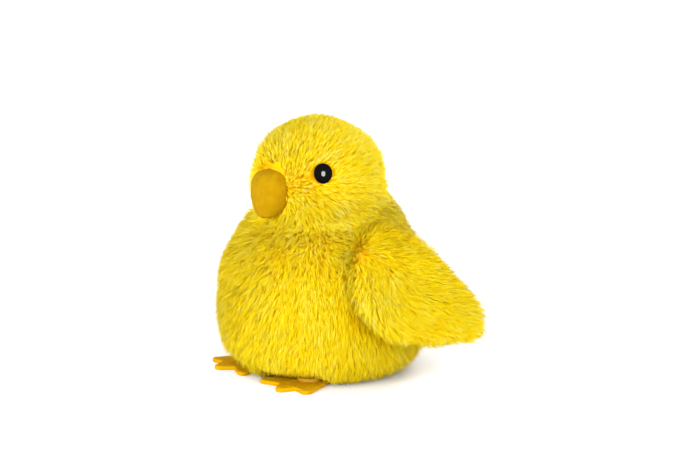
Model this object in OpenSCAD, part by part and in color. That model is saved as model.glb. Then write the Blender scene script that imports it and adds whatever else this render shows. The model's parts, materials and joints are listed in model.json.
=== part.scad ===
// Wind-up hopping chick: long-pile plush over a clockwork motor that kicks two felt feet.
// Millimetres. The chick faces -Y, its left is +X, +Z is up, and it stands on z = 0.

/* [Body] */
// Largest radius of the plush body
body_r = 37.2; // [34:0.2:40]
// Height of the body's widest point
body_mid_z = 28; // [25:0.5:30]
// Height from the widest point to the closing point above
body_rise = 36.3; // [34:0.1:40]
// Depth from the widest point to the closing point below
body_drop = 29.5; // [28:0.1:31]
// Height of the plush hem above the floor
hem_z = 3; // [2.6:0.1:3.4]
// Thickness of the plush backing
plush_t = 1.5; // [1:0.1:2]

/* [Head] */
// Radius of the head
head_r = 23; // [21:0.2:25]
// Forward offset of the head's centre
head_y = -2.4; // [-5:0.2:0]
// Height of the head's centre
head_z = 70.2; // [68:0.2:72]
// Bearing of the eyes from straight ahead
eye_bearing = 55; // [45:1:65]
// Elevation of the eyes above the head's centre
eye_elev = 17.5; // [10:0.5:25]
// Radius of the embroidered eye
eye_r = 3.3; // [2.8:0.1:4]

// Radius of the pad that fills the nape
nape_r = 19; // [18:0.1:19.5]
// Radius of that pad where it rounds each shoulder
shoulder_r = 17.5; // [16:0.1:18]

/* [Beak] */
// Half width of the beak's base
beak_w = 7.8; // [7:0.1:9]
// Half height of the beak's base
beak_h = 8.4; // [7:0.1:9.5]
// Reach of the beak beyond its base
beak_reach = 8; // [7:0.1:10]
// Droop of the beak's tip
beak_droop = 35; // [20:1:45]
// Thickness of the beak's felt
beak_t = 1; // [0.8:0.1:1.6]

/* [Wings] */
// Sideways sweep of the wings
wing_yaw = 24; // [15:1:35]
// Downward slope of the wings
wing_pitch = 33; // [20:1:45]
// Inward lean of the wings' upper edge
wing_roll = -22; // [-30:1:-10]
// How much further back the right wing is sewn than the left
wing_back = 8.5; // [0:0.5:8.5]
// Edge roundness of the wings
wing_edge = 3; // [2.5:0.1:4]
// Half thickness in the middle of the wings
wing_mid = 4.8; // [4:0.1:6]
// Thickness of the wings' cover
wing_t = 1.1; // [0.8:0.1:1.5]

/* [Feet] */
// Thickness of the felt
felt_t = 1.5; // [1.2:0.1:2]
// Thickness of the plastic soles
sole_t = 1.2; // [1:0.1:1.4]
// Sideways place of each foot's palm
foot_x = 17; // [15:0.5:19]
// Radius at the tips of the toes
toe_r = 2.1; // [1.5:0.1:3]

/* [Motor] */
// Tooth module of the gears
gear_m = 0.5; // [0.5:0.05:0.6]
// Teeth of the winding gear
main_n = 36; // [30:1:40]
// Teeth of the intermediate pinion
pin1_n = 12; // [10:1:14]
// Teeth of the intermediate gear
inter_n = 30; // [26:1:34]
// Teeth of the crank pinion
pin2_n = 10; // [9:1:12]
// Throw of the cranks
crank_e = 3; // [2:0.1:3.4]
// Turns of the mainspring
spring_turns = 5; // [4:1:6]
// Diameter of the winding knob
knob_d = 13; // [10:0.5:14]
// Swing of the legs that the crank windows clear
leg_swing = 12; // [8:1:12]
// Radial running clearance of shafts
run = 0.05; // [0.02:0.01:0.1]

/* [Hidden] */
$fn = 64;
wind = [15, 19];
comp = [3.5, 15.57];
crank = [-5.8, 11.894];
pivot = [13, 8.2];
base_z = felt_t + sole_t + 0.7;
base_t = 2;
deck = base_z + base_t;
base_r = 27.5;
box_x = 9;
wall = 1.4;
arm_x = 13.5;
arm_t = 2;
shell_x = 18;
shell_h = 28.4;
plush = [0.96, 0.83, 0.12];
felt = [0.95, 0.66, 0.08];
stuffing = [0.95, 0.95, 0.92];
plastic = [0.88, 0.88, 0.85];
steel = [0.7, 0.71, 0.73];
brass = [0.8, 0.66, 0.3];

// ---- shared shapes ----

// Radius of the body's outside at height z, grown by d
function body_rad(z, d = 0) = z >= body_mid_z
    ? (body_r + d) * sqrt(max(0, 1 - pow((z - body_mid_z) / (body_rise + d), 2)))
    : (body_r + d) * pow(max(0, 1 - pow((body_mid_z - z) / (body_drop + d), 3.5)), 1 / 3.5);

// Half profile of the body between two heights
function body_side(z0, z1, d, n = 28) = [for (i = [0 : n])
    let (z = z0 + (z1 - z0) * i / n) [body_rad(z, d), z]];

function reversed(v) = [for (i = [len(v) - 1 : -1 : 0]) v[i]];

// Draws in the Y-Z plane and raises along X from x0 to x1
module along_x(x0, x1) {
    translate([x0, 0, 0]) rotate([90, 0, 90]) linear_extrude(x1 - x0) children();
}

module rod(at, x0, x1, r) {
    along_x(x0, x1) translate(at) circle(r);
}

// Flat strip with rounded ends, r0 round p and r1 round q
module strip(p, q, r0, r1) {
    d = norm(q - p);
    a = atan2(q[1] - p[1], q[0] - p[0]);
    t = acos((r0 - r1) / d);
    translate(p) circle(r0);
    translate(q) circle(r1);
    polygon([p + r0 * [cos(a - t), sin(a - t)], q + r1 * [cos(a - t), sin(a - t)],
        q + r1 * [cos(a + t), sin(a + t)], p + r0 * [cos(a + t), sin(a + t)]]);
}

function involute(t) = tan(t) * 180 / PI - t;

// Angle of a tooth flank from the tooth's centre at radius r
function flank(n, r) = let (rp = n * gear_m / 2, rb = rp * cos(20))
    90 / n - 0.05 / rp * 180 / PI + involute(20) - involute(acos(min(1, rb / max(rb, r))));

// Radii used on each flank, root first
function flank_radii(n) = let (rp = n * gear_m / 2, rr = rp - 1.2 * gear_m,
    ro = rp + (n > 20 ? 0.75 : 1) * gear_m, rb = max(rr + 0.02, rp * cos(20)))
    [rr, rb, (rb + ro) / 2, ro];

// Spur gear outline with a tooth at the angle "turn"
module gear2d(n, turn) {
    radii = flank_radii(n);
    polygon([for (k = [0 : n - 1], i = [0 : 7])
        let (r = radii[i < 4 ? i : 7 - i], a = turn + 360 * k / n + (i < 4 ? -1 : 1) * flank(n, r))
        r * [cos(a), sin(a)]]);
}

function bearing(a, b) = atan2(b[1] - a[1], b[0] - a[0]);
// Turn of a driven gear so that its gap faces a tooth of the driver
function gap_turn(a, b, n) = bearing(a, b) + 180 + 180 / n;

module screw(x, y, z, len, r, head_r, head_t) {
    translate([x, y, z]) difference() {
        union() {
            cylinder(h = head_t, r = head_r);
            translate([0, 0, head_t]) cylinder(h = len, r = r);
        }
        translate([-head_r, -0.2, -0.1]) cube([2 * head_r, 0.4, 0.5]);
        translate([-0.2, -head_r, -0.1]) cube([0.4, 2 * head_r, 0.5]);
    }
}

// ---- body ----

neck_z = 60;
hem_in = 23.4;

// Plan outline of the inner cover, grown by d
module shell_plan(d) {
    polygon([[-shell_x - d, -20.9 - d], [shell_x + d, -20.9 - d], [shell_x + d, 17.5 + d * 0.7],
        [10.8 + d * 0.7, 28.9 + d], [-10.8 - d * 0.7, 28.9 + d], [-shell_x - d, 17.5 + d * 0.7]]);
}

module body_plush() {
    color(plush) difference() {
        rotate_extrude($fn = 128) polygon(concat(
            [[base_r + 0.1, hem_z]], body_side(hem_z, neck_z, 0),
            reversed(body_side(deck + 2.2, neck_z, -plush_t)),
            [[body_rad(deck + 1, -plush_t), deck + 1], [hem_in, deck + 1], [hem_in, deck], [base_r + 0.1, deck]]));
        translate([0, head_y, head_z]) sphere(head_r);
        rod(wind, -60, -20, 2.6);
        for (p = screw_at) translate([p[0], p[1], deck - 1]) cylinder(h = 3, r = 1.75);
    }
}

module body_stuffing() {
    color(stuffing) difference() {
        rotate_extrude($fn = 128) polygon(concat([[0, deck + 2.2]],
            body_side(deck + 2.2, neck_z, -plush_t), [[0, neck_z]]));
        translate([0, head_y, head_z]) sphere(head_r);
        rod(wind, -60, -10, 2.6);
        linear_extrude(deck + shell_h) shell_plan(0);
    }
}

// ---- head ----

module at_head() {
    translate([0, head_y, head_z]) children();
}

// Puts its children on the head, +Z outwards, at the eye on side s
module at_eye(s) {
    at_head() rotate([0, 0, -90 + s * eye_bearing]) rotate([0, 90 - eye_elev, 0]) children();
}

module head_plush() {
    color(plush) at_head() difference() {
        sphere(head_r, $fn = 128);
        sphere(head_r - plush_t, $fn = 128);
    }
}

module head_stuffing() {
    color(stuffing) at_head() sphere(head_r - plush_t, $fn = 128);
}

// Low dome of black thread, with the glint's place left open
module eye(s) {
    color([0.02, 0.02, 0.02]) difference() {
        at_eye(s) difference() {
            intersection() {
                translate([0, 0, head_r - 6.4]) sphere(7.6, $fn = 96);
                scale([1.1, 1, 1]) cylinder(h = head_r + 5, r = eye_r);
            }
            glint_post();
        }
        at_head() sphere(head_r, $fn = 128);
    }
}

module glint_post() {
    for (x = [0.6, -0.1]) translate([x, 0, head_r + 0.3]) cylinder(h = 4, r = 0.6);
}

module eye_glint(s) {
    color([1, 1, 1]) at_eye(s) intersection() {
        glint_post();
        translate([0, 0, head_r - 6.3]) sphere(7.7, $fn = 96);
    }
}

// Drooping half egg, d smaller all round
module beak_egg(d) {
    translate([0, head_y - head_r + 1.4, head_z - 0.2]) rotate([beak_droop, 0, 0])
        scale([beak_w - d, beak_reach + 1.6 - d, beak_h - d]) sphere(1, $fn = 96);
}

module beak_panel(s) {
    color(felt) difference() {
        beak_egg(0);
        beak_egg(beak_t);
        at_head() sphere(head_r, $fn = 128);
        translate([s > 0 ? -30 : 0, -60, 40]) cube([30, 60, 60]);
    }
}

module beak_filling() {
    color(stuffing) difference() {
        beak_egg(beak_t);
        at_head() sphere(head_r, $fn = 128);
    }
}

// ---- wings ----

wing_root = [37.8, -5.9, 44.8];
wing_u = [sin(wing_yaw) * cos(wing_pitch), cos(wing_yaw) * cos(wing_pitch), -sin(wing_pitch)];
wing_out = [cos(wing_yaw), -sin(wing_yaw), 0];
wing_v = cross(wing_out, wing_u) * cos(wing_roll) + wing_out * sin(wing_roll);
wing_w = cross(wing_u, wing_v);
// Place on the wing: a along it from the shoulder, b across it upwards, c out of it
function wing_pt(a, b, c = 0) = wing_root + a * wing_u + b * wing_v + c * wing_w;
// Each edge point's a, b and c, and how much slimmer the edge is there
wing_rim = [[-8, 1, -0.6, 0.6], [-5.4, -6, 0, 0.6], [-2, -11, 0, 0.4], [2, -14.2, 0, 0],
    [9.6, -16.2, 0, 0], [17.8, -15.9, 0, 0], [29.6, -11.9, 0, 0], [35.8, -7, 0, 0], [41, -2.5, 0, 0],
    [40.6, 0.5, 0, 0], [36, 4, 0, 0], [16, 10.4, 0, 0], [5.5, 12, -1, 0], [-2.5, 12, -2.5, 0.4], [-7, 8, -2, 0.6]];
wing_core = [[2, 3], [10, -4], [24, -4]];

// Pillow that is d thinner all round
module wing_pillow(d) {
    hull() {
        for (p = wing_rim) translate(wing_pt(p[0], p[1], p[2])) sphere(wing_edge - p[3] - d, $fn = 20);
        for (p = wing_core) translate(wing_pt(p[0], p[1])) sphere(wing_mid - d, $fn = 24);
    }
}

module wing_cover() {
    color(plush) difference() {
        wing_pillow(0);
        wing_pillow(wing_t);
    }
}

module at_wing() {
    multmatrix([for (i = [0 : 2]) [wing_u[i], wing_v[i], wing_w[i], wing_root[i]]]) children();
}

// Puts the left wing's things on the right side
module right_side() {
    translate([-0.4, wing_back, 0.2]) mirror([1, 0, 0]) children();
}

module seam_post() {
    at_wing() translate([0, 0, -20]) linear_extrude(15.1) strip([-7, -5.5], [-7, 7.5], 2.2, 2.199);
}

module body_solid() {
    rotate_extrude($fn = 128)
        polygon(concat([[0, hem_z]], body_side(hem_z, neck_z, 0), [[0, neck_z]]));
}

// Seam allowances of plush that reach from the body to the roots of the wings
module wing_gusset_left() {
    color(plush) difference() {
        seam_post();
        body_solid();
    }
}

module wing_gusset_right() {
    color(plush) difference() {
        right_side() seam_post();
        body_solid();
    }
}

module wing_left() { wing_cover(); }
module wing_right() { right_side() wing_cover(); }
module wing_wadding_left() { color(stuffing) wing_pillow(wing_t); }
module wing_wadding_right() { color(stuffing) right_side() wing_pillow(wing_t); }

// Pad of plush that fills the nape and rounds the shoulders
module nape_pad() {
    color(plush) difference() {
        union() {
            translate([0, 9, 52]) sphere(nape_r, $fn = 96);
            for (x = [-12, 12]) translate([x, 4, 50]) sphere(shoulder_r, $fn = 96);
        }
        body_solid();
        at_head() sphere(head_r, $fn = 128);
        seam_post();
        right_side() seam_post();
    }
}

// ---- felt feet ----

module foot_outline() {
    palm = [foot_x - 0.5, -22];
    strip(palm, [foot_x - 10.4, -33.2], 8.2, toe_r);
    strip(palm, [foot_x + 1.3, toe_r - body_r], 8.2, toe_r);
    strip(palm, [foot_x + 9.4, -30], 8.2, toe_r);
    strip(palm, [foot_x - 1, -12], 7, 5.4);
}

module foot_left() { color(felt) linear_extrude(felt_t) foot_outline(); }
module foot_right() { mirror([1, 0, 0]) foot_left(); }

// ---- base ----

screw_at = [[21.5, 9], [-21.5, 9], [21.5, -9.5], [-21.5, -9.5]];
box_screw_at = [[5, -8.6], [-5, -8.6], [0, 24.6]];

module base_plate() {
    color(plastic) difference() {
        union() {
            translate([0, 0, base_z]) cylinder(h = base_t, r = base_r, $fn = 128);
            // Heel rim that takes the chick's weight behind the feet
            rotate([0, 0, 30]) rotate_extrude(angle = 120, $fn = 128)
                translate([22.5, 0]) square([3.2, base_z + 0.2]);
        }
        for (s = [-1, 1]) translate([s * (arm_x + arm_t / 2) - 1.6, -18.2, 0])
            cube([3.2, 31.6, 20]);
        for (p = screw_at) translate([p[0], p[1], -1]) cylinder(h = 20, r = 0.9);
        for (p = screw_at) translate([p[0], p[1], -1]) cylinder(h = base_z + 2, r = 1.7);
    }
}

// Ring that holds the plush hem down on the base plate
module clamp_ring() {
    color(plastic) difference() {
        translate([0, 0, deck + 1]) cylinder(h = 1.2, r = 29, $fn = 128);
        linear_extrude(deck + 5) shell_plan(0.1);
        translate([0, 0, deck]) cylinder(h = 5, r = 19.6, $fn = 128);
        for (p = screw_at) translate([p[0], p[1], deck]) cylinder(h = 5, r = 0.8);
    }
    for (p = screw_at) color(plastic) translate([p[0], p[1], deck]) difference() {
        cylinder(h = 1, r = 1.7);
        translate([0, 0, -1]) cylinder(h = 3, r = 0.8);
    }
}

module base_screws() {
    color(steel) for (p = screw_at) screw(p[0], p[1], base_z + 0.1, 3.1, 0.8, 1.6, 0.9);
}

// Cover that keeps the stuffing off the moving parts
module inner_shell() {
    color(plastic) difference() {
        translate([0, 0, deck]) linear_extrude(shell_h) shell_plan(0);
        translate([0, 0, deck - 1]) linear_extrude(shell_h) shell_plan(-1);
        // Room for the hem and the clamp ring
        difference() {
            translate([-40, -40, deck - 1]) cube([80, 80, 2]);
            translate([0, 0, deck - 2]) cylinder(h = 6, r = 22.6, $fn = 128);
        }
        rod(wind, -25, -10, 2.2);
    }
}

// ---- motor box ----

module box_outline(d) {
    polygon([[-11.4 + d, deck + d], [20 - d * 0.37, deck + d], [27.2 - d, 11.4 + d * 0.48],
        [27.2 - d, 25 - d * 0.4],
        [21.5 - d * 0.4, 31 - d], [7 + d * 0.6, 31 - d], [-11.4 + d, 20 - d * 0.6]]);
}

box_ties = [[-8.6, 17.6], [24.9, 25.7], [19.5, 7.9]];
post = [20.6, 27.6];

module casing_half(s) {
    color(plastic) difference() {
        union() {
            difference() {
                along_x(s > 0 ? 0 : -box_x, s > 0 ? box_x : 0) box_outline(0);
                along_x(s > 0 ? -1 : wall - box_x, s > 0 ? box_x - wall : 1) box_outline(wall);
            }
            for (p = box_ties) rod(p, s > 0 ? 0 : -box_x, s > 0 ? box_x : 0, 1.9);
        }
        rod(wind, -20, 20, 1.5 + run);
        rod(comp, -20, 20, 0.8);
        rod(crank, -20, 20, 1 + run);
        rod(pivot, -20, 20, 1);
        rod(post, -8.4, 8.4, 0.6);
        for (p = box_ties) rod(p, -20, 20, 0.7);
        for (p = box_ties) rod(p, box_x - 0.8, 20, 1.35);
    }
}

module casing_left() { casing_half(1); }
module casing_right() { casing_half(-1); }

module casing_screws() {
    color(steel) for (p = box_ties) difference() {
        union() {
            rod(p, -6, box_x - 0.8, 0.7);
            rod(p, box_x - 0.8, box_x, 1.25);
        }
        translate([box_x - 0.4, p[0] - 2, p[1] - 0.15]) cube([1, 4, 0.3]);
    }
}

module spring_post() { color(steel) rod(post, -8.4, 8.4, 0.6); }

// ---- winding ----

module winding_shaft() {
    color(steel) union() {
        rod(wind, -41.2, 10, 1.5);
        rod(wind, -7.2, -6.7, 2.1);
        rod(wind, 6.6, 7.2, 2.1);
    }
}

module winding_knob() {
    color([0.96, 0.85, 0.2]) difference() {
        union() {
            rod(wind, -41.8, -37.7, knob_d / 2 - 0.6);
            for (k = [0 : 17]) along_x(-41.3, -38.2) translate(wind) rotate(k * 20)
                translate([knob_d / 2 - 0.7, 0]) circle(0.7, $fn = 24);
            rod(wind, -37.8, -33.5, 2.3);
        }
        rod(wind, -41.2, -30, 1.5);
    }
}

module main_gear() {
    color(brass) difference() {
        along_x(-1.8, -0.2) translate(wind) gear2d(main_n, bearing(wind, comp));
        rod(wind, -5, 5, 1.5);
        for (k = [0 : 4]) along_x(-5, 5) translate(wind) rotate(72 * k) translate([5.2, 0]) circle(1.5);
    }
}

// Flat spiral strip from the arbor to the post
module mainspring() {
    n = 24;
    r0 = 1.9;
    end_a = bearing(wind, post);
    r1 = norm(post - wind) - 0.98;
    total = 360 * spring_turns;
    function coil(i, o) = let (t = i / (n * spring_turns), a = end_a - total * (1 - t),
        r = r0 + (r1 - r0) * t + o) wind + r * [cos(a), sin(a)];
    color(steel) along_x(-6.5, -2.3) difference() {
        union() {
            polygon(concat([for (i = [0 : n * spring_turns]) coil(i, 0)],
                [for (i = [n * spring_turns : -1 : 0]) coil(i, 0.3)]));
            translate(post) circle(0.95);
        }
        translate(post) circle(0.6 + run);
    }
}

// ---- gear train ----

module compound_gear() {
    color(brass) difference() {
        union() {
            along_x(-2, 0) translate(comp) gear2d(pin1_n, gap_turn(wind, comp, pin1_n));
            along_x(0, 1.6) translate(comp) gear2d(inter_n, bearing(comp, crank));
            rod(comp, 1.6, 6.8, 1.7);
            rod(comp, -6.8, -2, 1.5);
        }
        rod(comp, -10, 10, 0.8 + run);
    }
}

module compound_shaft() { color(steel) rod(comp, -8.6, 8.6, 0.8); }

module crank_shaft() { color(steel) rod(crank, -arm_x + 1.2, arm_x - 1.2, 1); }

module crank_pinion() {
    color(brass) difference() {
        union() {
            along_x(-0.2, 1.8) translate(crank) gear2d(pin2_n, gap_turn(comp, crank, pin2_n));
            rod(crank, 1.8, 7.2, 1.6);
            rod(crank, -7.2, -0.2, 1.6);
        }
        rod(crank, -10, 10, 1);
    }
}

module crank_disc(s) {
    color(plastic) difference() {
        union() {
            rod(crank, s > 0 ? 10.2 : -12.3, s > 0 ? 12.3 : -10.2, 4.6);
            rod(crank + [0, crank_e], s > 0 ? 12 : -16.4, s > 0 ? 16.4 : -12, 1.2);
        }
        rod(crank, -12.3, 12.3, 1);
    }
}

module crank_disc_left() { crank_disc(1); }
module crank_disc_right() { crank_disc(-1); }

// ---- hop legs ----

// The crank's place as the leg sees it after swinging by a
function seen(a) = pivot + [(crank[0] - pivot[0]) * cos(a) + (crank[1] - pivot[1]) * sin(a),
    (crank[1] - pivot[1]) * cos(a) - (crank[0] - pivot[0]) * sin(a)];

module leg_arm2d() {
    difference() {
        union() {
            polygon([[-17, felt_t + sole_t - 0.2], [-11, felt_t + sole_t - 0.2], [-10.2, 5.2],
                [pivot[0], pivot[1] - 2.6], [pivot[0] + 1, pivot[1] + 2.4], [2, 21.6],
                [-10, 22.2], [-13.6, 19], [-17, 10]]);
            translate(pivot) circle(2.6);
        }
        strip(crank, seen(leg_swing), crank_e + 1.7, crank_e + 1.699);
        translate(pivot) circle(1 + run);
    }
}

module leg_yoke() {
    color([0.93, 0.7, 0.12]) union() {
        for (s = [-1, 1]) {
            along_x(s > 0 ? arm_x : -arm_x - arm_t, s > 0 ? arm_x + arm_t : -arm_x) leg_arm2d();
            translate([0, 0, felt_t]) linear_extrude(sole_t)
                strip([s * (foot_x - 1), -12.5], [s * (foot_x - 0.5), -20], 4.6, 5);
        }
        translate([-foot_x, -19, felt_t]) cube([2 * foot_x, 7, sole_t]);
    }
}

module leg_pivot_pin() {
    color(steel) union() {
        rod(pivot, -16.6, 16.6, 1);
        rod(pivot, 16, 16.6, 1.7);
        rod(pivot, -16.6, -16, 1.7);
    }
}

// Torsion spring round the pivot that lifts the legs back against the box
module leg_spring() {
    n = 18;
    last = 67;
    m = 8;
    wire = 0.28;
    coil_r = 1.75;
    pitch = 0.72;
    function ring(i) = let (a = 190 + 360 * i / n, x = 9.7 + pitch * i / n)
        [for (k = [0 : m - 1]) let (b = 360 * k / m, r = coil_r + wire * cos(b))
            [x + wire * sin(b), pivot[0] + r * cos(a), pivot[1] + r * sin(a)]];
    x_end = 9.7 + pitch * last / n;
    color(steel) union() {
        polyhedron(points = [for (i = [0 : last]) each ring(i)],
            faces = concat([[for (k = [m - 1 : -1 : 0]) k]],
                [for (i = [0 : last - 1], k = [0 : m - 1]) let (j = (k + 1) % m)
                    [i * m + j, (i + 1) * m + j, (i + 1) * m + k, i * m + k]],
                [[for (k = [0 : m - 1]) last * m + k]]));
        along_x(9.7 - wire, 9.7 + wire) translate(pivot) rotate(190) translate([coil_r - wire, -6])
            square([2 * wire, 6.2]);
        // Tail that ends just short of the leg's inner face
        along_x(x_end - wire, x_end + wire) translate(pivot) rotate(90) translate([coil_r - wire, -0.2])
            square([2 * wire, 7]);
        along_x(x_end, arm_x - 0.1) translate(pivot) rotate(90) translate([coil_r - wire, 6.3])
            square([2 * wire, 0.5]);
    }
}

// ---- assembly ----

body_plush();
body_stuffing();
head_plush();
head_stuffing();
eye(1);  // eye_left
eye(-1);  // eye_right
eye_glint(1);  // eye_glint_left
eye_glint(-1);  // eye_glint_right
beak_panel(1);  // beak_left_panel
beak_panel(-1);  // beak_right_panel
beak_filling();
wing_left();
wing_right();
wing_gusset_left();
wing_gusset_right();
wing_wadding_left();
wing_wadding_right();
nape_pad();
foot_left();
foot_right();
base_plate();
clamp_ring();
base_screws();
inner_shell();
casing_left();
casing_right();
casing_screws();
spring_post();
winding_shaft();
winding_knob();
main_gear();
mainspring();
compound_gear();
compound_shaft();
crank_shaft();
crank_pinion();
crank_disc_left();
crank_disc_right();
leg_yoke();
leg_pivot_pin();
leg_spring();
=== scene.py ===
"""The looks of the wind-up hopping chick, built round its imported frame. Metres, same axes as the CAD."""

import json
import math

import bmesh
import bpy
import numpy as np
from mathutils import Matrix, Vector, kdtree


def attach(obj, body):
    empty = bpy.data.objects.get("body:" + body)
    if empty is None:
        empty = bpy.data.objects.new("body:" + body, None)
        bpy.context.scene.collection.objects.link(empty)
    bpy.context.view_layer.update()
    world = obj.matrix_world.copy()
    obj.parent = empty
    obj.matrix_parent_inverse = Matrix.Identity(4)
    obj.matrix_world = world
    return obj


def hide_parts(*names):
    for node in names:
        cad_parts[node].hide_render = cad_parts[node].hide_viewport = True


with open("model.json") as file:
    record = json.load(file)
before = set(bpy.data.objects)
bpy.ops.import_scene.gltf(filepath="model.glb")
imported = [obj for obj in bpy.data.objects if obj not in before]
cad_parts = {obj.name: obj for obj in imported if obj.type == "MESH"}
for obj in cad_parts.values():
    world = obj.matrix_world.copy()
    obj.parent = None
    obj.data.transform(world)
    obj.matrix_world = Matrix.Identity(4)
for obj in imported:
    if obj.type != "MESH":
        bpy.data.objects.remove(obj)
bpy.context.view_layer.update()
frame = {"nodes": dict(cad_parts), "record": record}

NODES = frame["nodes"]
MM = 0.001

# Places repeated from part.scad, in millimetres
BODY_R, BODY_MID, BODY_RISE, BODY_DROP, HEM_Z, NECK_Z = 37.2, 28.0, 36.3, 29.5, 3.0, 60.0
HEAD = np.array([0.0, -2.4, 70.2])
HEAD_R = 23.0
EYE_BEARING, EYE_ELEV = 55.0, 17.5
BEAK = np.array([0.0, -24.0, 70.0])
BEAK_SIZE = (7.8, 9.6, 8.4)
BEAK_DROOP = math.radians(35)
WING_ROOT = np.array([37.8, -5.9, 44.8])
WING_YAW, WING_PITCH, WING_ROLL = (math.radians(a) for a in (24, 33, -22))
RIGHT_SHIFT = np.array([-0.4, 8.5, 0.2])
NAPE, NAPE_R = np.array([0.0, 9.0, 52.0]), 19.0
FELT_T = 1.5
FOOT_X = 17.0
TOE_R = 2.1
SHOULDER, SHOULDER_R = (12, 4, 50), 17.5
KNOB = np.array([15.0, 19.0])
EYE_R, EYE_TALL = 3.3, 3.63

# Sizes of the visual pieces only, in millimetres, and voxel sizes in metres
SKIN_UNDER = 0.7
HEM_CUT_Z, HEM_CUT_R = HEM_Z + 0.7, 28.6
HEM_TUCK_R, HEM_TUCK_Z = 28.0, 5.2
STRAND_W, FUZZ_W = 0.19, 0.07
EYE_DOME_R, EYE_DOME_SINK = 7.6, 6.4
SKIN_VOXEL, FELT_VOXEL = 0.0011, 0.00034

# The felt feet are drawn this much smaller in plan than the CAD feet, to match the photo
FOOT_TRIM = 0.985

# A blade of pile: a quad and a triangle in front, and the same two behind, facing the other way
BLADE_FACES = [(0, 1, 3, 2), (2, 3, 4), (6, 5, 7, 8), (8, 7, 9)]
BLADE_POINTS = 10
BLADE_GAP = 0.02


# ---------------------------------------------------------------- materials


def linear(rgb):
    return tuple(
        c / 12.92 if c <= 0.04045 else ((c + 0.055) / 1.055) ** 2.4
        for c in (v / 255 for v in rgb)
    ) + (1.0,)


def new_material(name, rgb, rough, **inputs):
    mat = bpy.data.materials.new(name)
    mat.use_nodes = True
    shader = mat.node_tree.nodes["Principled BSDF"]
    shader.inputs["Base Color"].default_value = linear(rgb)
    shader.inputs["Roughness"].default_value = rough
    for key, value in inputs.items():
        shader.inputs[key.replace("_", " ")].default_value = value
    mat.diffuse_color = linear(rgb)
    return mat, mat.node_tree, shader


def add(tree, kind, **values):
    node = tree.nodes.new(kind)
    for key, value in values.items():
        if hasattr(node, key):
            setattr(node, key, value)
        else:
            node.inputs[key].default_value = value
    return node


def noise(tree, scale, detail=4.0, rough=0.55, stretch=(1, 1, 1)):
    """Noise in object space; scale is cells per metre."""
    where = add(tree, "ShaderNodeTexCoord")
    grow = add(tree, "ShaderNodeMapping")
    grow.inputs["Scale"].default_value = stretch
    tree.links.new(where.outputs["Object"], grow.inputs["Vector"])
    tex = add(tree, "ShaderNodeTexNoise")
    tex.inputs["Scale"].default_value = scale
    tex.inputs["Detail"].default_value = detail
    tex.inputs["Roughness"].default_value = rough
    tree.links.new(grow.outputs["Vector"], tex.inputs["Vector"])
    return tex.outputs["Fac"]


def ramp(tree, fac, stops):
    node = add(tree, "ShaderNodeValToRGB")
    bar = node.color_ramp
    while len(bar.elements) < len(stops):
        bar.elements.new(0.5)
    for element, (at, rgb) in zip(bar.elements, stops):
        element.position = at
        element.color = linear(rgb)
    tree.links.new(fac, node.inputs["Fac"])
    return node.outputs["Color"]


def spread(tree, fac, low, high, start=0.3, end=0.7):
    node = add(tree, "ShaderNodeMapRange")
    for key, value in (("From Min", start), ("From Max", end), ("To Min", low), ("To Max", high)):
        node.inputs[key].default_value = value
    tree.links.new(fac, node.inputs["Value"])
    return node.outputs["Result"]


def bump(tree, shader, parts, distance):
    """Adds bump from several heights, given as (fac, strength)."""
    normal = None
    for fac, strength in parts:
        node = add(tree, "ShaderNodeBump")
        node.inputs["Strength"].default_value = strength
        node.inputs["Distance"].default_value = distance
        tree.links.new(fac, node.inputs["Height"])
        if normal:
            tree.links.new(normal, node.inputs["Normal"])
        normal = node.outputs["Normal"]
    tree.links.new(normal, shader.inputs["Normal"])


# Pile shades, from the golden roots to the pale tips; the deeper root shades are painted shade down in the
# pile, the paler tip shades painted light on the tips
SHADES = [
    (236, 150, 0),
    (240, 166, 0),
    (242, 182, 0),
    (243, 195, 2),
    (243, 206, 6),
    (243, 214, 22),
    (241, 220, 62),
    (239, 227, 120),
]


def pile_materials(name, shades, rough=0.7):
    made = []
    for k, rgb in enumerate(shades):
        mat, _, _ = new_material(
            f"{name}_{k}", rgb, rough, Specular_IOR_Level=0.12, Specular_Tint=linear(rgb)
        )
        made.append(mat)
    return made


def backing_material():
    mat, tree, shader = new_material("plush_backing", (240, 170, 0), 0.85, Specular_IOR_Level=0.1)
    patches = noise(tree, 130, 3)
    threads = noise(tree, 2600, 3, 0.7)
    colour = ramp(tree, patches, [(0.3, (234, 158, 0)), (0.5, (238, 174, 0)), (0.72, (242, 188, 2))])
    tree.links.new(colour, shader.inputs["Base Color"])
    tree.links.new(spread(tree, threads, 0.75, 0.95), shader.inputs["Roughness"])
    bump(tree, shader, [(threads, 0.7), (patches, 0.4)], 0.0006)
    return mat


def felt_material(name, dark, mid, light):
    mat, tree, shader = new_material(name, mid, 0.9, Specular_IOR_Level=0.06)
    blotch = noise(tree, 240, 4, 0.6)
    fibre = noise(tree, 3800, 6, 0.75)
    streak = noise(tree, 1400, 5, 0.7, (1, 0.35, 1))
    mix = add(tree, "ShaderNodeMath", operation="ADD")
    half = add(tree, "ShaderNodeMath", operation="MULTIPLY")
    half.inputs[1].default_value = 0.5
    tree.links.new(blotch, mix.inputs[0])
    tree.links.new(fibre, mix.inputs[1])
    tree.links.new(mix.outputs[0], half.inputs[0])
    colour = ramp(tree, half.outputs[0], [(0.36, dark), (0.5, mid), (0.64, light)])
    tree.links.new(colour, shader.inputs["Base Color"])
    tree.links.new(spread(tree, streak, 0.82, 0.98), shader.inputs["Roughness"])
    bump(tree, shader, [(streak, 0.25), (fibre, 0.4)], 0.0003)
    return mat


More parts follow.
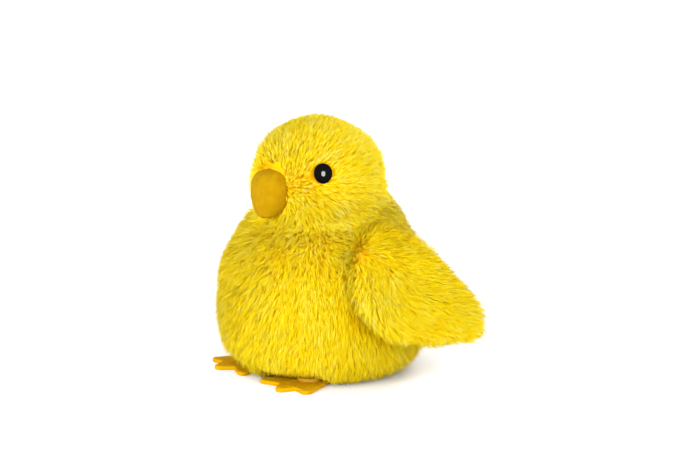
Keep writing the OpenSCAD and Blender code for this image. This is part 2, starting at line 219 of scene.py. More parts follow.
def thread_material(name, dark, light, rough):
    mat, tree, shader = new_material(name, light, rough, Specular_IOR_Level=0.08)
    fine = noise(tree, 5200, 5, 0.7, (1, 1, 0.25))
    tree.links.new(ramp(tree, fine, [(0.35, dark), (0.7, light)]), shader.inputs["Base Color"])
    tree.links.new(spread(tree, fine, rough - 0.1, rough + 0.15), shader.inputs["Roughness"])
    bump(tree, shader, [(fine, 0.5)], 0.0002)
    return mat


def plastic_material(name, rgb, rough, grain=0.12):
    mat, tree, shader = new_material(name, rgb, rough, Specular_IOR_Level=0.5, Coat_Weight=0.1)
    dark = tuple(v * 0.93 for v in rgb)
    cloud = noise(tree, 90, 3)
    skin = noise(tree, 4200, 4, 0.6)
    tree.links.new(ramp(tree, cloud, [(0.3, dark), (0.7, rgb)]), shader.inputs["Base Color"])
    tree.links.new(spread(tree, skin, rough - 0.06, rough + 0.1), shader.inputs["Roughness"])
    bump(tree, shader, [(skin, grain)], 0.0001)
    return mat


def metal_material(name, rgb, rough):
    mat, tree, shader = new_material(name, rgb, rough, Metallic=1.0)
    brush = noise(tree, 900, 6, 0.7, (0.15, 1, 1))
    stain = noise(tree, 160, 3)
    dark = tuple(v * 0.82 for v in rgb)
    tree.links.new(ramp(tree, stain, [(0.3, dark), (0.65, rgb)]), shader.inputs["Base Color"])
    tree.links.new(spread(tree, brush, rough - 0.08, rough + 0.14), shader.inputs["Roughness"])
    bump(tree, shader, [(brush, 0.25)], 0.0001)
    return mat


PILE = pile_materials("pile", SHADES)
BACKING = backing_material()
FELT_FOOT = felt_material("felt_foot", (192, 140, 0), (202, 150, 0), (212, 162, 2))
FELT_BEAK = felt_material("felt_beak", (149, 111, 0), (157, 119, 0), (166, 130, 2))
FUZZ = pile_materials("felt_fuzz", [(176, 132, 0), (184, 142, 0), (192, 152, 4)], 0.85)
BLACK = thread_material("black_thread", (0, 0, 0), (3, 3, 4), 0.6)
WHITE = thread_material("white_thread", (240, 240, 242), (254, 254, 254), 0.5)
FILLING = felt_material("polyester_filling", (224, 224, 218), (238, 238, 234), (248, 248, 246))
SLOT_LOOKS = {
    "plush": BACKING,
    "stuffing": FILLING,
    "felt": FELT_FOOT,
    "black_thread": BLACK,
    "white_thread": WHITE,
    "white_plastic": plastic_material("white_plastic", (224, 224, 216), 0.42),
    "orange_plastic": plastic_material("orange_plastic", (196, 146, 4), 0.6),
    "yellow_plastic": plastic_material("yellow_plastic", (240, 204, 40), 0.3),
    "brass": metal_material("gear_brass", (205, 170, 95), 0.3),
    "steel": metal_material("bright_steel", (190, 192, 196), 0.28),
}

for part in frame["record"]["subparts"]:
    node = NODES[part["node"]]
    node.data.materials.clear()
    node.data.materials.append(SLOT_LOOKS[part["material_slot"]])


# ---------------------------------------------------------------- mesh helpers


def unit(v):
    return v / np.maximum(np.linalg.norm(v, axis=-1, keepdims=True), 1e-12)


def make_object(name, verts, faces, mats, body):
    """Mesh object from millimetre points, riding on a body."""
    mesh = bpy.data.meshes.new(name)
    mesh.from_pydata([tuple(v) for v in np.asarray(verts) * MM], [], faces)
    mesh.validate()
    mesh.polygons.foreach_set("use_smooth", [True] * len(mesh.polygons))
    for mat in mats:
        mesh.materials.append(mat)
    mesh.update()
    obj = bpy.data.objects.new(name, mesh)
    bpy.context.scene.collection.objects.link(obj)
    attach(obj, body)
    return obj


def tube_faces(rows, cols, base=0):
    """Faces of a capped tube, whose rings of points start at base."""
    last = base + (rows - 1) * cols
    faces = []
    for ring in range(base, last, cols):
        for j in range(cols):
            k = (j + 1) % cols
            faces.append((ring + j, ring + k, ring + cols + k, ring + cols + j))
    return faces + [tuple(range(base, base + cols))[::-1], tuple(range(last, last + cols))]


def waves(p, size, seed, count=7):
    """Smooth pseudo-random vectors over space; size is the wave length in mm."""
    g = np.random.default_rng(seed)
    out = np.zeros((len(p), 3))
    for k in range(count):
        way = unit(g.normal(size=(3, 3))) * (2 * np.pi / size) * (1 + 0.45 * k)
        out += np.sin(p @ way.T + g.uniform(0, 2 * np.pi, 3)) / (1 + 0.5 * k)
    return out / 1.9


def sample(obj, count, seed):
    """Points and normals spread evenly over a mesh, in mm."""
    mesh = obj.data
    mesh.calc_loop_triangles()
    v = np.empty(len(mesh.vertices) * 3)
    mesh.vertices.foreach_get("co", v)
    n = np.empty(len(mesh.vertices) * 3)
    mesh.vertices.foreach_get("normal", n)
    t = np.empty(len(mesh.loop_triangles) * 3, int)
    mesh.loop_triangles.foreach_get("vertices", t)
    v, n, t = v.reshape(-1, 3) / MM, n.reshape(-1, 3), t.reshape(-1, 3)
    area = np.linalg.norm(np.cross(v[t[:, 1]] - v[t[:, 0]], v[t[:, 2]] - v[t[:, 0]]), axis=1) / 2
    g = np.random.default_rng(seed)
    pick = np.searchsorted(np.cumsum(area), g.uniform(0, area.sum(), count))
    pick = np.minimum(pick, len(t) - 1)
    a, b = g.uniform(size=(2, count))
    over = a + b > 1
    a[over], b[over] = 1 - a[over], 1 - b[over]
    w = np.stack([1 - a - b, a, b], 1)[:, :, None]
    return (v[t[pick]] * w).sum(1), unit((n[t[pick]] * w).sum(1))


def tangent(v, n):
    return unit(v - n * (v * n).sum(1, keepdims=True))


def clumps(p, spacing, seed):
    """The clump that each point belongs to: its centre's index and place."""
    g = np.random.default_rng(seed)
    centres = p[g.choice(len(p), max(8, int(len(p) * spacing)), replace=False)]
    tree = kdtree.KDTree(len(centres))
    for i, c in enumerate(centres):
        tree.insert(c, i)
    tree.balance()
    near = np.array([tree.find(q)[1] for q in p])
    return near, centres


def strands(name, p, n, lay, length, width, tone, mats, body, lean=0.85, curl=0.45, gather=0.3,
            tuft=0.17, seed=1, sink=0.4, clear=None, low=True):
    """Tapered two-joint blades of pile. p in mm, lay along the skin, tone is a shade per strand.

    low keeps blades above the floor and the feet. clear says which blades stay, by their points.
    """
    g = np.random.default_rng(seed)
    count = len(p)
    near, centres = clumps(p, tuft, seed + 1)
    k = len(centres)
    clump_turn = g.normal(0, 0.17, (k, 3))[near]
    clump_len = g.normal(1, 0.09, k)[near]
    clump_tone = g.normal(0, 0.4, k)[near]
    to_centre = centres[near] - p
    to_centre -= n * (to_centre * n).sum(1, keepdims=True)
    lay = tangent(lay + clump_turn + g.normal(0, 0.16, (count, 3)), n)
    size = (length * clump_len * g.uniform(0.72, 1.12, count))[:, None]
    lean = (lean * g.uniform(0.8, 1.2, count))[:, None]
    up = unit(n + lay * lean * 0.6)
    over = unit(n + lay * lean * (1 + curl) + g.normal(0, 0.1, (count, 3)))
    root = p - n * sink
    mid = p + up * size * 0.5 + to_centre * gather * 0.45
    tip = mid + over * size * 0.5 + to_centre * gather * 0.5
    for q in (mid, tip) if low else ():
        q[:, 2] = np.maximum(q[:, 2], floor_under(q) + g.uniform(0, 0.25, count))
    side = unit(np.cross(n, over) + n * g.normal(0, 0.35, (count, 1)))
    thick = width * g.uniform(0.7, 1.3, (count, 1))
    if clear is not None:
        m = clear(mid) & clear(tip)
        n, root, mid, tip, over, side, thick, tone, clump_tone = (
            q[m] for q in (n, root, mid, tip, over, side, thick, tone, clump_tone)
        )
        count = len(n)
    side *= np.where((np.cross(side, over) * n).sum(1, keepdims=True) < 0, -1, 1)
    half = side * thick / 2
    front = np.stack([root - half, root + half, mid - half * 0.84, mid + half * 0.84, tip], 1)
    face = unit(np.cross(side, over))
    verts = np.concatenate([front, front - face[:, None] * BLADE_GAP], 1)
    shade_n = unit(n + face * 0.1 + g.normal(0, 0.03, (count, 3)))
    normals = np.repeat(shade_n[:, None, :], BLADE_POINTS, 1)
    corners = np.concatenate(BLADE_FACES)
    sizes = [len(f) for f in BLADE_FACES]
    blade = np.arange(count)[:, None]
    loops = (blade * BLADE_POINTS + corners).ravel()
    starts = (blade * len(corners) + np.cumsum([0] + sizes[:-1])).ravel()
    totals = np.tile(sizes, count)
    last = len(mats) - 1
    step = last / (len(SHADES) - 1)
    t = tone * step + clump_tone * step + g.normal(0, 0.5, count) * step
    # Each blade's lower half takes a deeper shade, painted shade down in the pile, and its upper half a
    # paler one, painted light on the tips
    dark = np.clip(np.round(t - 1.3 * step), 0, last).astype(int)
    pale = np.clip(np.round(t + 0.6 * step), 0, last).astype(int)
    mesh = bpy.data.meshes.new(name)
    mesh.vertices.add(count * BLADE_POINTS)
    mesh.vertices.foreach_set("co", (verts * MM).ravel())
    mesh.loops.add(len(loops))
    mesh.loops.foreach_set("vertex_index", loops)
    mesh.polygons.add(count * len(BLADE_FACES))
    mesh.polygons.foreach_set("loop_start", starts)
    mesh.polygons.foreach_set("loop_total", totals)
    mesh.polygons.foreach_set("material_index", np.stack([dark, pale, dark, pale], 1).ravel())
    mesh.polygons.foreach_set("use_smooth", [True] * len(mesh.polygons))
    for mat in mats:
        mesh.materials.append(mat)
    mesh.update()
    mesh.normals_split_custom_set_from_vertices(normals.reshape(-1, 3))
    obj = bpy.data.objects.new(name, mesh)
    bpy.context.scene.collection.objects.link(obj)
    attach(obj, body)
    return obj


# ---------------------------------------------------------------- skins


def body_rad(z):
    """Radius of the CAD body at a height."""
    if z >= BODY_MID:
        return BODY_R * math.sqrt(max(0, 1 - ((z - BODY_MID) / BODY_RISE) ** 2))
    return BODY_R * max(0, 1 - ((BODY_MID - z) / BODY_DROP) ** 3.5) ** (1 / 3.5)


def ball(centre, radius, rows=48, cols=72):
    t = (np.arange(rows) + 0.5) * math.pi / rows
    f = np.arange(cols) * 2 * math.pi / cols
    ring, height = np.sin(t), -np.cos(t)
    v = np.stack([np.outer(ring, np.cos(f)), np.outer(ring, np.sin(f)), np.outer(height, np.ones(cols))], -1)
    return np.asarray(centre) + v.reshape(-1, 3) * radius, tube_faces(rows, cols)


def turned(profile, cols=144):
    """Closed solid of revolution from (radius, height) points."""
    a = np.linspace(0, 2 * np.pi, cols, endpoint=False)
    rings = [np.stack([r * np.cos(a), r * np.sin(a), np.full(cols, z)], 1) for r, z in profile]
    return np.concatenate(rings), tube_faces(len(profile), cols)


def merged(solids):
    verts, faces, base = [], [], 0
    for v, f in solids:
        verts.append(v)
        faces += [tuple(k + base for k in face) for face in f]
        base += len(v)
    return np.concatenate(verts), faces


def modify(obj, kind, **values):
    """Adds a modifier and applies it at once."""
    mod = obj.modifiers.new(kind, kind)
    for key, value in values.items():
        setattr(mod, key, value)
    graph = bpy.context.evaluated_depsgraph_get()
    mesh = bpy.data.meshes.new_from_object(obj.evaluated_get(graph))
    obj.modifiers.clear()
    old = obj.data
    obj.data = mesh
    bpy.data.meshes.remove(old)
    mesh.polygons.foreach_set("use_smooth", [True] * len(mesh.polygons))


def read(obj):
    v = np.empty(len(obj.data.vertices) * 3)
    obj.data.vertices.foreach_get("co", v)
    return v.reshape(-1, 3) / MM


def write(obj, v):
    obj.data.vertices.foreach_set("co", (v * MM).ravel())
    obj.data.update()


def relax(obj, weight, times):
    """Smooths points by their own weights from 0 to 1."""
    mesh = obj.data
    edges = np.empty(len(mesh.edges) * 2, int)
    mesh.edges.foreach_get("vertices", edges)
    a, b = edges.reshape(-1, 2).T
    v = read(obj)
    count = np.bincount(a, minlength=len(v)) + np.bincount(b, minlength=len(v))
    for _ in range(times):
        total = np.zeros_like(v)
        np.add.at(total, a, v[b])
        np.add.at(total, b, v[a])
        v += (total / np.maximum(count, 1)[:, None] - v) * weight[:, None] * 0.6
    write(obj, v)


def node_points(name):
    mesh = NODES[name].data
    v = np.empty(len(mesh.vertices) * 3)
    mesh.vertices.foreach_get("co", v)
    return v.reshape(-1, 3) / MM


def hull_of(points):
    bm = bmesh.new()
    for p in points:
        bm.verts.new(p)
    out = bmesh.ops.convex_hull(bm, input=bm.verts)
    inside = out["geom_interior"] + out["geom_unused"]
    loose = {e for e in inside if isinstance(e, bmesh.types.BMVert)}
    bmesh.ops.delete(bm, geom=list(loose), context="VERTS")
    bm.verts.index_update()
    v = np.array([tuple(q.co) for q in bm.verts])
    f = [tuple(q.index for q in face.verts) for face in bm.faces]
    bm.free()
    return v, f


def chick_skin():
    """One sewn skin over body, nape and head, with the creases eased as stuffing eases them."""
    profile = [(body_rad(z) - SKIN_UNDER, z) for z in np.linspace(HEM_Z + 0.1, NECK_Z, 60)]
    solids = [turned(profile), ball(NAPE, NAPE_R - SKIN_UNDER), ball(HEAD, HEAD_R - SKIN_UNDER, 64, 96)]
    solids += [ball((s * SHOULDER[0], *SHOULDER[1:]), SHOULDER_R - SKIN_UNDER) for s in (-1, 1)]
    solids += [hull_of(node_points(f"wing_gusset_{s}")) for s in ("left", "right")]
    obj = make_object("chick_skin", *merged(solids), [BACKING], "chick")
    modify(obj, "REMESH", mode="VOXEL", voxel_size=SKIN_VOXEL)
    v = read(obj)
    rim = np.abs(np.linalg.norm(v - HEAD, axis=1) - HEAD_R + SKIN_UNDER)
    neck = np.clip(1 - np.abs(v[:, 2] - 57) / 11, 0, 1) * np.clip(1.6 - rim / 9, 0, 1)
    relax(obj, np.clip(neck * 1.6, 0.04, 1), 26)
    v = read(obj)
    out = unit(v - np.stack([v[:, 0] * 0, v[:, 1] * 0, np.clip(v[:, 2], 20, 66)], 1))
    dent = waves(v, 30, 3)[:, :1] * 0.4 * np.clip((v[:, 2:] - 6) / 10, 0, 1)
    write(obj, v + out * dent)
    bm = bmesh.new()
    bm.from_mesh(obj.data)
    low = []
    for face in bm.faces:
        middle = face.calc_center_median()
        if middle.z < HEM_CUT_Z * MM and middle.xy.length < HEM_CUT_R * MM:
            low.append(face)
    bmesh.ops.delete(bm, geom=low, context="FACES")
    edge = [e for e in bm.edges if e.is_boundary]
    lip = bmesh.ops.extrude_edge_only(bm, edges=edge)
    for q in lip["geom"]:
        if isinstance(q, bmesh.types.BMVert):
            q.co.xy = q.co.xy.normalized() * HEM_TUCK_R * MM
            q.co.z = HEM_TUCK_Z * MM
    bm.to_mesh(obj.data)
    bm.free()
    return obj


skin = chick_skin()
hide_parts("body_plush", "head_plush", "nape_pad", "wing_gusset_left", "wing_gusset_right")


# ---------------------------------------------------------------- where the pile may go

cy, sy, cp, sp = math.cos(WING_YAW), math.sin(WING_YAW), math.cos(WING_PITCH), math.sin(WING_PITCH)
WING_U = np.array([sy * cp, cy * cp, -sp])
WING_OUT = np.array([cy, -sy, 0])
WING_V = np.cross(WING_OUT, WING_U) * math.cos(WING_ROLL) + WING_OUT * math.sin(WING_ROLL)
WING_W = np.cross(WING_U, WING_V)


def on_wing(p, side):
    """Places along, across and out of a wing."""
    q = (p if side > 0 else (p - RIGHT_SHIFT) * [-1, 1, 1]) - WING_ROOT
    return np.stack([q @ WING_U, q @ WING_V, q @ WING_W], 1)


def wing_way(side, k):
    """A wing's direction along, across or out, for k of 0, 1 or 2."""
    return (WING_U, WING_V, WING_W)[k] * [side, 1, 1]


def strip_gap(p, a, b, ra, rb):
    """Distance outside a tapered strip, in plan."""
    a, b = np.array(a), np.array(b)
    t = np.clip(((p - a) @ (b - a)) / ((b - a) @ (b - a)), 0, 1)
    return np.linalg.norm(p - a - t[:, None] * (b - a), axis=1) - (ra + (rb - ra) * t)


def foot_gap(p):
    """Distance outside the nearer foot, in plan. The outer toe is 1.8 mm longer here than in the CAD."""
    q = np.stack([np.abs(p[:, 0]), p[:, 1]], 1)
    palm = (FOOT_X - 0.5, -22)
    ends = [(FOOT_X - 10.4, -33.2), (FOOT_X + 1.3, TOE_R - BODY_R), (FOOT_X + 11.2, -30)]
    gaps = [strip_gap(q, palm, end, 8.2, TOE_R) for end in ends]
    gaps.append(strip_gap(q, palm, (FOOT_X - 1, -12), 7, 5.4))
    return np.min(gaps, axis=0)


def floor_under(p):
    """Lowest height that pile may reach: over a foot, or just above the floor."""
    over = np.clip(1 - foot_gap(p) / 1.6, 0, 1)
    outer = np.clip((np.hypot(p[:, 0], p[:, 1]) - 31) / 5, 0, 1)
    return 0.12 + over * (2.0 + 3.2 * outer)


def eye_frame(side):
    """Directions right, up and out at an eye."""
    b, e = math.radians(EYE_BEARING), math.radians(EYE_ELEV)
    out = np.array([side * math.sin(b) * math.cos(e), -math.cos(b) * math.cos(e), math.sin(e)])
    right = unit(np.cross([0, 0, 1.0], out))
    return right, np.cross(out, right), out


def eye_reach(d):
    """How many eye radii each direction on the head is from the nearer eye."""
    reach = np.full(len(d), 99.0)
    for side in (-1, 1):
        right, up, out = eye_frame(side)
        q = d * HEAD_R
        near = np.hypot((q @ right) / EYE_R, (q @ up) / EYE_TALL)
        reach = np.where(q @ out > 0, np.minimum(reach, near), reach)
    return reach


def off_face(p):
    """Whether points are clear of the eyes and the beak."""
    return (eye_reach(unit(p - HEAD)) > 1.03) & (beak_reach(p) > 1.0)


def beak_reach(p):
    """1 on the CAD beak's surface and less inside it."""
    q = p - BEAK
    f = -q[:, 1] * math.cos(BEAK_DROOP) - q[:, 2] * math.sin(BEAK_DROOP)
    h = -q[:, 1] * math.sin(BEAK_DROOP) + q[:, 2] * math.cos(BEAK_DROOP)
    return np.sqrt((q[:, 0] / BEAK_SIZE[0]) ** 2 + (f / BEAK_SIZE[1]) ** 2 + (h / BEAK_SIZE[2]) ** 2)


# ---------------------------------------------------------------- pile on body and head


def grow_chick():
    count = 138000
    p, n = sample(skin, count, 11)
    d = unit(p - HEAD)
    rise = np.clip((p[:, 2] - 53) / 8, 0, 1)
    headness = np.clip(1 - (np.linalg.norm(p - HEAD, axis=1) - HEAD_R) / 4, 0, 1) * rise
    eye = np.where(headness > 0.5, eye_reach(d), 99)
    beak = beak_reach(p)
    knob = np.where(p[:, 0] < -20, np.linalg.norm(p[:, 1:] - KNOB, axis=1), 99)
    beneath = (p[:, 2] < HEM_Z + 0.25) & (np.hypot(p[:, 0], p[:, 1]) < 29)
    keep = (eye > 1.0) & (beak > 0.99) & (knob > 2.6) & ~beneath
    for side in (1, -1):
        q = on_wing(p, side)
        sewn = (np.abs(q[:, 2]) < 9) & (q[:, 0] > -4) & (q[:, 0] < 14) & (np.abs(q[:, 1] - 1) < 8)
        keep &= ~(sewn & (p[:, 0] * side > 20))
    p, n, d, headness, eye, beak, knob = (x[keep] for x in (p, n, d, headness, eye, beak, knob))
    h = headness[:, None]
    # Head: out from beak and eyes, up over the crown and down over the cheeks
    away = tangent(d - unit(BEAK - HEAD), n)
    crown = np.clip((d[:, 2:] - 0.05) / 0.5, 0, 1)
    cheek = np.clip((0.15 - d[:, 2:]) / 0.6, 0, 1)
    head_lay = away + crown * np.array([0, 0.15, 0.5]) + cheek * np.array([0, 0.15, -0.9])
    # Body: down, drawn back over the shoulders towards the wings
    body_lay = np.array([0, 0, -1.0]) + waves(p, 34, 21) * 0.12
    for side in (1, -1):
        q = on_wing(p, side)
        away_sq = (np.minimum(q[:, 0] + 8, 0) / 8) ** 2 + ((q[:, 1] - 8) / 9) ** 2
        near = np.exp(-away_sq) * (p[:, 0] * side > 6)
        body_lay = body_lay + near[:, None] * (wing_way(side, 0) * 1.9 + [0, 0, 0.4])
    lay = tangent(head_lay * h + body_lay * (1 - h) + waves(p, 17, 31) * 0.09, n)
    neck = np.exp(-(((p[:, 2] - 57) / 5) ** 2)) * (1 - 0.5 * headness)
    hem = np.clip((9 - p[:, 2]) / 6, 0, 1)
    near_eye = np.clip((2.3 - eye) / 1.3, 0, 1)
    near_beak = np.clip((1.75 - beak) / 0.75, 0, 1)
    by_knob = np.clip((9.5 - knob) / 2.5, 0, 1)
    over_foot = np.clip(1 - foot_gap(p + n * 2) / 2.5, 0, 1) * np.clip((11 - p[:, 2]) / 5, 0, 1)
    seam = sum(
        np.exp(-(((q[:, 0] + 8) / 4) ** 2 + ((q[:, 1] - 7) / 6) ** 2)) * (p[:, 0] * s > 12)
        for s, q in ((s, on_wing(p, s)) for s in (1, -1))
    )
    back = np.clip((p[:, 1] - 2) / 10, 0, 1) * np.exp(-(((p[:, 2] - 57) / 8) ** 2))
    length = (5.5 - 1.1 * hem + 0.6 * neck + 1.2 * back + 1.2 * seam) * (1 - headness) + 5.0 * headness
    length = length - 1.5 * near_eye - 0.9 * near_beak - 2.6 * by_knob - 2.6 * over_foot
    top = np.clip((d[:, 2] - 0.55) / 0.35, 0, 1)
    rear = np.clip(d[:, 1] * 2, 0, 1) * (d[:, 2] > 0)
    length = length - headness * (1.5 * top + 0.9 * rear)
    # Under a wing the pile takes deeper shades: painted shade where the wing shades the body
    painted_wing_shade = np.zeros(len(p))
    for side in (1, -1):
        q = on_wing(p, side)
        reach = np.exp(-((np.maximum(1 - q[:, 0], 0) / 3) ** 2 + (np.maximum(-17 - q[:, 1], 0) / 3) ** 2))
        fade = np.clip((22 - q[:, 0]) / 9, 0, 1) * np.clip((9 - q[:, 1]) / 6, 0, 1)
        fade = fade * np.clip((p[:, 0] * side - 14) / 8, 0, 1)
        painted_wing_shade = np.maximum(painted_wing_shade, reach * fade)
    # The neck term makes the pile paler in the neck crease: painted light against the crease's shade
    # The under-wing term darkens the pile as painted shade under the wings
    tone = 4.3 + waves(p, 15, 5)[:, 0] * 0.3 + 0.3 * neck - 0.3 * near_beak + 0.4 * headness - 1.6 * painted_wing_shade
    lean = 1.1 - 0.3 * headness + 0.25 * near_eye + 0.3 * near_beak - 0.1 * neck
    part = np.digitize(np.arctan2(p[:, 1], p[:, 0]), [-math.pi / 2, 0, math.pi / 2])
    part = np.where(headness > 0.5, 4 + (p[:, 0] > 0), part)
    for k in range(6):
        m = part == k
        name = f"head_pile_{k - 4}" if k > 3 else f"body_pile_{k}"
        strands(name, p[m], n[m], lay[m], length[m], STRAND_W, tone[m], PILE, "chick", lean=lean[m],
                seed=40 + k, clear=off_face if k > 3 else None)


grow_chick()


# ---------------------------------------------------------------- wings


def wing_skin(side, name):
    shape = hull_of(node_points(f"wing_{name}"))
    obj = make_object(f"wing_skin_{name}", *shape, [BACKING], f"wing_{name[0]}")
    modify(obj, "REMESH", mode="VOXEL", voxel_size=SKIN_VOXEL)
    v = read(obj)
    relax(obj, np.full(len(v), 0.5), 6)
    v = read(obj)
    q = on_wing(v, side)
    quilt = waves(v, 20, 9)[:, :1] * 0.3
    puff = np.sign(q[:, 2:]) * wing_way(side, 2) * quilt
    write(obj, v + puff)
    return obj


def grow_wing(obj, side, name):
    count = 32500
    p, n = sample(obj, count, 14)
    q = on_wing(p, side)
    a, b = q[:, 0], q[:, 1]
    fall = np.clip(1 - a / 20, 0, 1) * np.clip((4 - b) / 14, 0, 1)
    along = 0.35 + 0.65 * np.clip(a / 16, 0, 1)
    across = 0.2 * np.clip(b / 18, 0, 1) - 1.1 * fall
    front = np.clip(1 - a / 12, 0, 1)[:, None]
    lay = along[:, None] * wing_way(side, 0) + across[:, None] * wing_way(side, 1) + waves(p, 18, 33) * 0.1
    lay = lay + front * 0.12 * wing_way(side, 2)
    lay = tangent(lay, n)
    inner = (n @ wing_way(side, 2)) < -0.35
    edge = np.clip((np.hypot((a - 6) / 15, b / 13.5) - 0.8) / 0.15, 0, 1)
    edge = edge * np.clip((14 - a) / 5, 0, 1) * (b > -9)
    outward = np.clip(a / 45, 0, 1)
    low_tip = np.clip((-4 - b) / 6, 0, 1) * np.clip((a - 14) / 10, 0, 1)
    length = np.where(inner, 2.6, 5.2) + outward * 0.8 - 2.6 * low_tip + 0.6 * edge
    # Pile on the inner side of a wing, facing the body, takes deeper shades: painted shade
    tone = 3.9 + waves(p, 14, 7)[:, 0] * 0.35 - np.where(inner, 1.2, 0) + outward * 0.6 + 0.8 * fall
    strands(f"wing_pile_{name}", p, n, lay, length, STRAND_W, tone, PILE, f"wing_{name[0]}",
            lean=1.05 - 0.25 * edge, seed=70 + side)


for side, name in ((1, "left"), (-1, "right")):
    wing = wing_skin(side, name)
    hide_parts(f"wing_{name}")
    grow_wing(wing, side, name)


# ---------------------------------------------------------------- beak, feet, eyes


def beak_shape():
    """Two felt halves sewn along the middle.

    It departs from the CAD beak to match the photo: squarer, flatter on top and hooked further down.
    """
    rows, cols = 72, 96
    f = np.cos((np.arange(rows) + 0.5) * math.pi / rows)
    a = np.linspace(0, 2 * np.pi, cols, endpoint=False)
    ff = np.repeat(f, cols)
    rr = np.sqrt(1 - ff**2)
    square = [np.sign(w) * np.abs(w) ** 0.8 for w in (np.cos(a), np.sin(a))]
    x = rr * np.tile(square[0], rows) * BEAK_SIZE[0]
    h = rr * np.tile(square[1], rows) * BEAK_SIZE[2]
    tip = np.clip(ff, 0, 1)
    seam = np.exp(-((x / 0.55) ** 2)) * (ff > -0.3)
    high = h / BEAK_SIZE[2]
    x = x * (1.08 - 0.12 * tip)
    fwd = ff * BEAK_SIZE[1] * (1.0 - 0.3 * high) + seam * 0.25 * tip
    h = h * np.where(h > 0, 0.84, 0.96) - 2.0 * tip**2 + np.sign(h) * seam * 0.3
    y = -fwd * math.cos(BEAK_DROOP) - h * math.sin(BEAK_DROOP)
    z = -fwd * math.sin(BEAK_DROOP) + h * math.cos(BEAK_DROOP)
    v = BEAK + np.stack([x, y, z], 1)
    v += unit(v - BEAK) * waves(v, 5, 17)[:, :1] * 0.12
    return make_object("beak_felt", v, tube_faces(rows, cols), [FELT_BEAK], "chick")


def fuzz(name, obj, count, body, length, keep, seed):
    """Short fibres standing on felt."""
    p, n = sample(obj, count, seed)
    m = keep(p, n)
    p, n = p[m], n[m]
    lay = tangent(waves(p, 3, seed + 2), n)
    tone = np.full(len(p), 3.5)
    strands(name, p, n, lay, np.full(len(p), length), FUZZ_W, tone, FUZZ, body, lean=1.6, curl=0.9,
            gather=0.1, tuft=0.3, seed=seed, sink=0.05, low=False)


beak = beak_shape()
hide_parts("beak_left_panel", "beak_right_panel", "beak_filling")
fuzz("beak_fuzz", beak, 5000, "chick", 0.4,
     keep=lambda p, n: np.linalg.norm(p - HEAD, axis=1) > HEAD_R + 0.5, seed=81)


def foot_shape(side, name):
    """Die-cut felt with its edges softened."""
    source = NODES[f"foot_{name}"].data.copy()
    obj = bpy.data.objects.new(f"felt_foot_{name}", source)
    bpy.context.scene.collection.objects.link(obj)
    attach(obj, "legs")
    modify(obj, "REMESH", mode="VOXEL", voxel_size=FELT_VOXEL)
    obj.data.materials.clear()
    obj.data.materials.append(FELT_FOOT)
    v = read(obj)
    relax(obj, np.full(len(v), 0.8), 5)
    v = read(obj)
    middle = np.array([side * (FOOT_X - 0.5), -20, 0])
    v = middle + (v - middle) * [FOOT_TRIM, FOOT_TRIM, 1]
    lift = np.clip(v[:, 2:] / FELT_T, 0, 1)
    write(obj, v + np.array([0, 0, 1.0]) * waves(v, 4.5, 23)[:, :1] * 0.07 * lift)
    return obj


for side, name in ((1, "left"), (-1, "right")):
    foot = foot_shape(side, name)
    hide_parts(f"foot_{name}")
    v = read(foot)
    fuzz(f"foot_fuzz_{name}", foot, 5000, "legs", 0.3,
         keep=lambda p, n: (p[:, 2] > 0.35) & ((n[:, 2] < 0.9) | (p[:, 1] < -20)), seed=90 + side)


def stitches(side, name):
    """Satin stitches laid side by side over the eye's dome."""
    right, up, out = eye_frame(side)
    centre = HEAD + out * (HEAD_R - EYE_DOME_SINK)
    g = np.random.default_rng(50 + side)
    verts, faces = [], []
    lines, steps, sides = 19, 14, 6
    for i in range(lines):
        s = (i + 0.5) / lines * 2 - 1
        x = s * 3.12
        half = 3.5 * math.sqrt(max(0.02, 1 - s * s)) * g.uniform(0.97, 1.03)
        path = []
        for t in np.linspace(-1, 1, steps):
            y = t * half
            rise = math.sqrt(max(1, EYE_DOME_R**2 - x * x - y * y)) + 0.05
            rise = rise - 0.5 * max(0, abs(t) - 0.86) / 0.14
            path.append(centre + right * (x + g.normal(0, 0.012)) + up * y + out * rise)
        path = np.array(path)
        way = unit(np.gradient(path, axis=0))
        a = unit(np.cross(way, out))
        b = np.cross(way, a)
        base = len(verts)
        for k in range(steps):
            thick = 0.2 * (0.5 if k in (0, steps - 1) else 1)
            for j in range(sides):
                w = 2 * math.pi * j / sides
                verts.append(path[k] + (a[k] * math.cos(w) + b[k] * math.sin(w)) * thick)
        faces += tube_faces(steps, sides, base)
    obj = make_object(f"eye_stitches_{name}", verts, faces, [BLACK], "chick")


def glint_stitch(side, name):
    """A few white threads over the middle of the eye."""
    right, up, out = eye_frame(side)
    verts, faces = [], []
    steps, sides = 10, 6
    for i, x in enumerate((-0.38, -0.13, 0.13, 0.38)):
        half = 0.95 - 0.18 * abs(i - 1.5)
        base = len(verts)
        for k, t in enumerate(np.linspace(-1, 1, steps)):
            y = -0.25 + t * half
            r = 0.16 * math.sqrt(max(0.12, 1 - t**4))
            at = HEAD + right * x + up * y + out * (HEAD_R + 1.25 - 0.1 * (y * y) - 0.25 * t**6)
            for j in range(sides):
                w = 2 * math.pi * j / sides
                verts.append(at + (right * math.cos(w) + out * math.sin(w)) * r)
        faces += tube_faces(steps, sides, base)
    obj = make_object(f"glint_threads_{name}", verts, faces, [WHITE], "chick")


for side, name in ((1, "left"), (-1, "right")):
    stitches(side, name)
    glint_stitch(side, name)


# ---------------------------------------------------------------- floor, light, camera


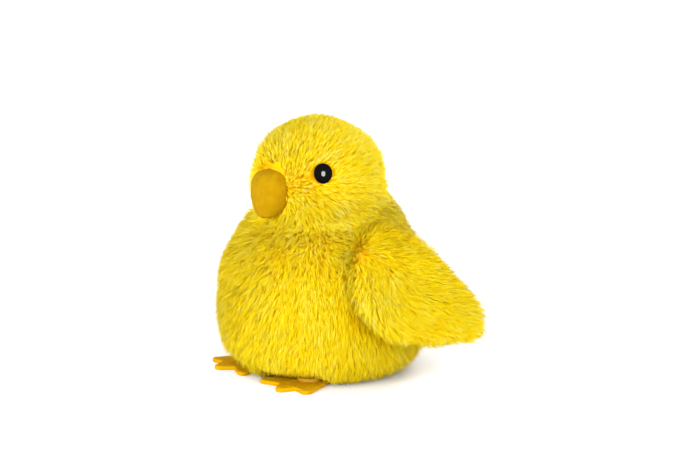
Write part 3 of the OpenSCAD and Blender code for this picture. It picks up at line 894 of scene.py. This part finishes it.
def area_light(name, place, aim, size, power):
    data = bpy.data.lights.new(name, "AREA")
    data.shape = "DISK"
    data.size = size
    data.energy = power
    lamp = bpy.data.objects.new(name, data)
    lamp.location = place
    lamp.rotation_euler = (Vector(aim) - Vector(place)).to_track_quat("-Z", "Y").to_euler()
    bpy.context.scene.collection.objects.link(lamp)


def studio():
    floor_mesh = bpy.data.meshes.new("floor")
    floor_mesh.from_pydata([(-30, -30, 0), (30, -30, 0), (30, 30, 0), (-30, 30, 0)], [], [(0, 1, 2, 3)])
    floor = bpy.data.objects.new("floor", floor_mesh)
    mat, tree, shader = new_material("paper", (250, 250, 250), 0.9)
    grain = noise(tree, 700, 3)
    colour = ramp(tree, grain, [(0.3, (247, 247, 247)), (0.7, (251, 251, 251))])
    tree.links.new(colour, shader.inputs["Base Color"])
    floor_mesh.materials.append(mat)
    bpy.context.scene.collection.objects.link(floor)
    world = bpy.data.worlds.new("studio")
    world.use_nodes = True
    world.node_tree.nodes["Background"].inputs["Color"].default_value = (1, 1, 1, 1)
    world.node_tree.nodes["Background"].inputs["Strength"].default_value = 1.15
    scene = bpy.context.scene
    scene.world = world
    scene.view_settings.view_transform = "Standard"
    scene.view_settings.look = "None"
    aim = (0, 0, 0.045)
    area_light("key", (0.1, -0.8, 0.38), aim, 0.5, 6.2)
    area_light("fill", (0.85, -0.15, 0.3), aim, 0.5, 3.4)
    area_light("rim", (-0.3, 0.75, 0.45), aim, 0.5, 3.6)


def camera():
    az, el = math.radians(50), math.radians(13)
    back = Vector((math.sin(az) * math.cos(el), -math.cos(az) * math.cos(el), math.sin(el)))
    data = bpy.data.cameras.new("camera")
    data.sensor_width = 36
    data.lens = 100
    data.shift_x, data.shift_y = 0.0185, 0.0311
    data.clip_start, data.clip_end = 0.01, 20
    cam = bpy.data.objects.new("camera", data)
    cam.location = Vector((0, 0.001, 0.045)) + back * 0.7
    cam.rotation_euler = (-back).to_track_quat("-Z", "Y").to_euler()
    bpy.context.scene.collection.objects.link(cam)
    bpy.context.scene.camera = cam


studio()
camera()
